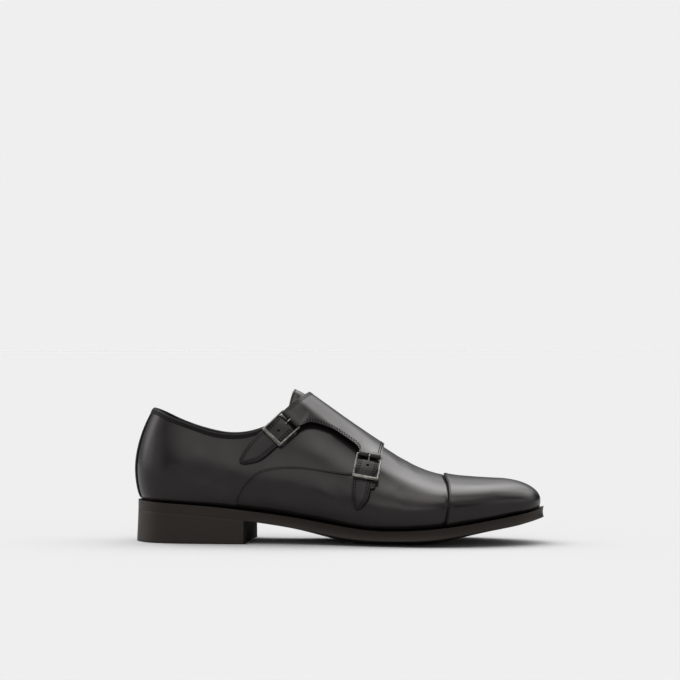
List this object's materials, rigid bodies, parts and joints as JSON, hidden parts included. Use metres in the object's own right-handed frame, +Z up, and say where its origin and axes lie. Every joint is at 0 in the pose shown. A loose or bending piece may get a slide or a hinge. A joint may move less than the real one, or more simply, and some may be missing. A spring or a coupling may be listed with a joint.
{
  "type": "buckled leather shoe",
  "caption": "Right-foot toe-cap leather shoe with an instep flap fastened by side buckles and pointed straps, on a low block heel.",
  "frame": {"origin": "on the floor plane, under the middle of the shoe's length and width", "axes": "+X towards the toe, +Y towards the inner (medial) side of a right foot, +Z up"},
  "size_m": [0.3021, 0.0956, 0.1123],
  "materials": {
    "black_leather": "smooth, semi-gloss black",
    "lining_leather": "matt, very dark",
    "dressed_sole": "dressed dark brown edge, satin",
    "aged_metal": "brushed, aged grey"
  },
  "bodies": {
    "root": {"upper": "black_leather", "instep_flap": "black_leather", "tongue": "black_leather", "back_strap": "black_leather", "front_strap": "black_leather", "back_buckle_fold": "black_leather", "front_buckle_fold": "black_leather", "insole": "lining_leather", "outsole": "dressed_sole", "heel_block": "dressed_sole", "back_buckle_frame": "aged_metal", "front_buckle_frame": "aged_metal", "back_buckle_prong": "aged_metal", "front_buckle_prong": "aged_metal"}
  },
  "joints": []
}
